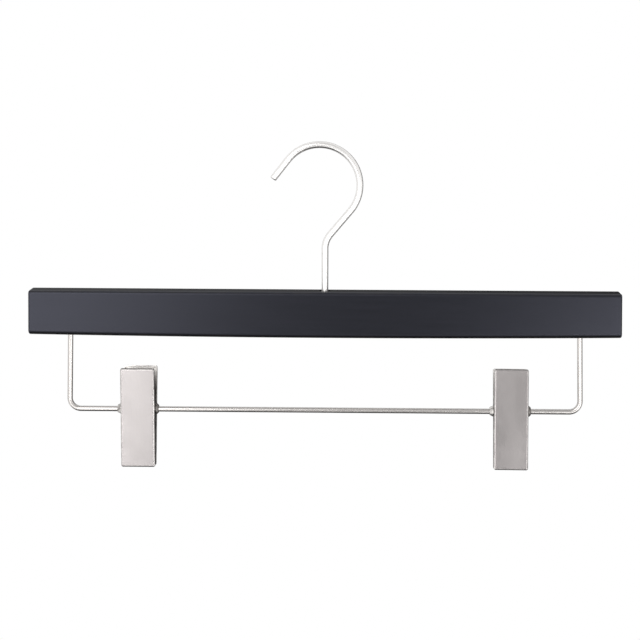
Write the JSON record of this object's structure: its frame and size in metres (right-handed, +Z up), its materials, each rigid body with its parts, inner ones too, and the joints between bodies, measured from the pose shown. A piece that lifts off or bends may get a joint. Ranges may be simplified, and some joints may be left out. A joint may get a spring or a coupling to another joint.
{
  "type": "clip hanger",
  "caption": "Flat black wooden bar on a swivelling wire hook, with a bent wire rail below it that carries sliding sprung clips for skirts and trousers.",
  "frame": {"origin": "the point on the swivel axis where the inside of the hook rests on a closet rail", "axes": "+X along the bar, to the right seen from the front; -Y is the front; +Z up along the hook's shank"},
  "size_m": [0.355, 0.0235, 0.1977],
  "materials": {
    "black_lacquered_wood": "black satin lacquer over wood",
    "satin_wire": "satin nickel plated wire",
    "satin_nickel_sheet": "satin nickel plated pressed sheet",
    "pivot_sleeve": "nickel plated tube with rolled ends",
    "spring_steel": "drawn spring wire",
    "zinc_washer": "zinc plated",
    "black_rubber": "moulded, matt, ribbed",
    "black_nylon": "moulded, matt"
  },
  "bodies": {
    "hook_body": {"hook": "satin_wire"},
    "bar_body": {"wooden_bar": "black_lacquered_wood", "clip_rail": "satin_wire", "hook_bush": "black_nylon", "hook_washer": "zinc_washer"},
    "left_slider": {"left_pivot_sleeve": "pivot_sleeve"},
    "left_rear": {"left_rear_jaw": "satin_nickel_sheet", "left_rear_pad": "black_rubber", "left_spring": "spring_steel"},
    "left_front": {"left_front_jaw": "satin_nickel_sheet", "left_front_pad": "black_rubber"},
    "right_slider": {"right_pivot_sleeve": "pivot_sleeve"},
    "right_rear": {"right_rear_jaw": "satin_nickel_sheet", "right_rear_pad": "black_rubber", "right_spring": "spring_steel"},
    "right_front": {"right_front_jaw": "satin_nickel_sheet", "right_front_pad": "black_rubber"}
  },
  "joints": [
    {"name": "hook_swivel", "type": "hinge", "parent": "hook_body", "child": "bar_body", "pos_m": [0, 0, -0.0854], "axis": [0, 0, 1], "continuous": true},
    {"name": "left_clip_slide", "type": "slide", "parent": "bar_body", "child": "left_slider", "axis": [1, 0, 0], "range_m": [-0.0205, 0.098]},
    {"name": "left_clip_swing", "type": "hinge", "parent": "left_slider", "child": "left_rear", "pos_m": [-0.1125, 0, -0.15834], "axis": [1, 0, 0], "continuous": true},
    {"name": "left_jaw_open", "type": "hinge", "parent": "left_rear", "child": "left_front", "pos_m": [-0.1125, 0, -0.15834], "axis": [-1, 0, 0], "range_deg": [0, 22], "stiffness_Nm_per_rad": 0.5, "springref_deg": -20.05, "deforming": ["left_spring"]},
    {"name": "right_clip_slide", "type": "slide", "parent": "bar_body", "child": "right_slider", "axis": [-1, 0, 0], "range_m": [-0.0205, 0.098]},
    {"name": "right_clip_swing", "type": "hinge", "parent": "right_slider", "child": "right_rear", "pos_m": [0.1125, 0, -0.15834], "axis": [1, 0, 0], "continuous": true},
    {"name": "right_jaw_open", "type": "hinge", "parent": "right_rear", "child": "right_front", "pos_m": [0.1125, 0, -0.15834], "axis": [-1, 0, 0], "range_deg": [0, 22], "stiffness_Nm_per_rad": 0.5, "springref_deg": -20.05, "deforming": ["right_spring"]}
  ]
}
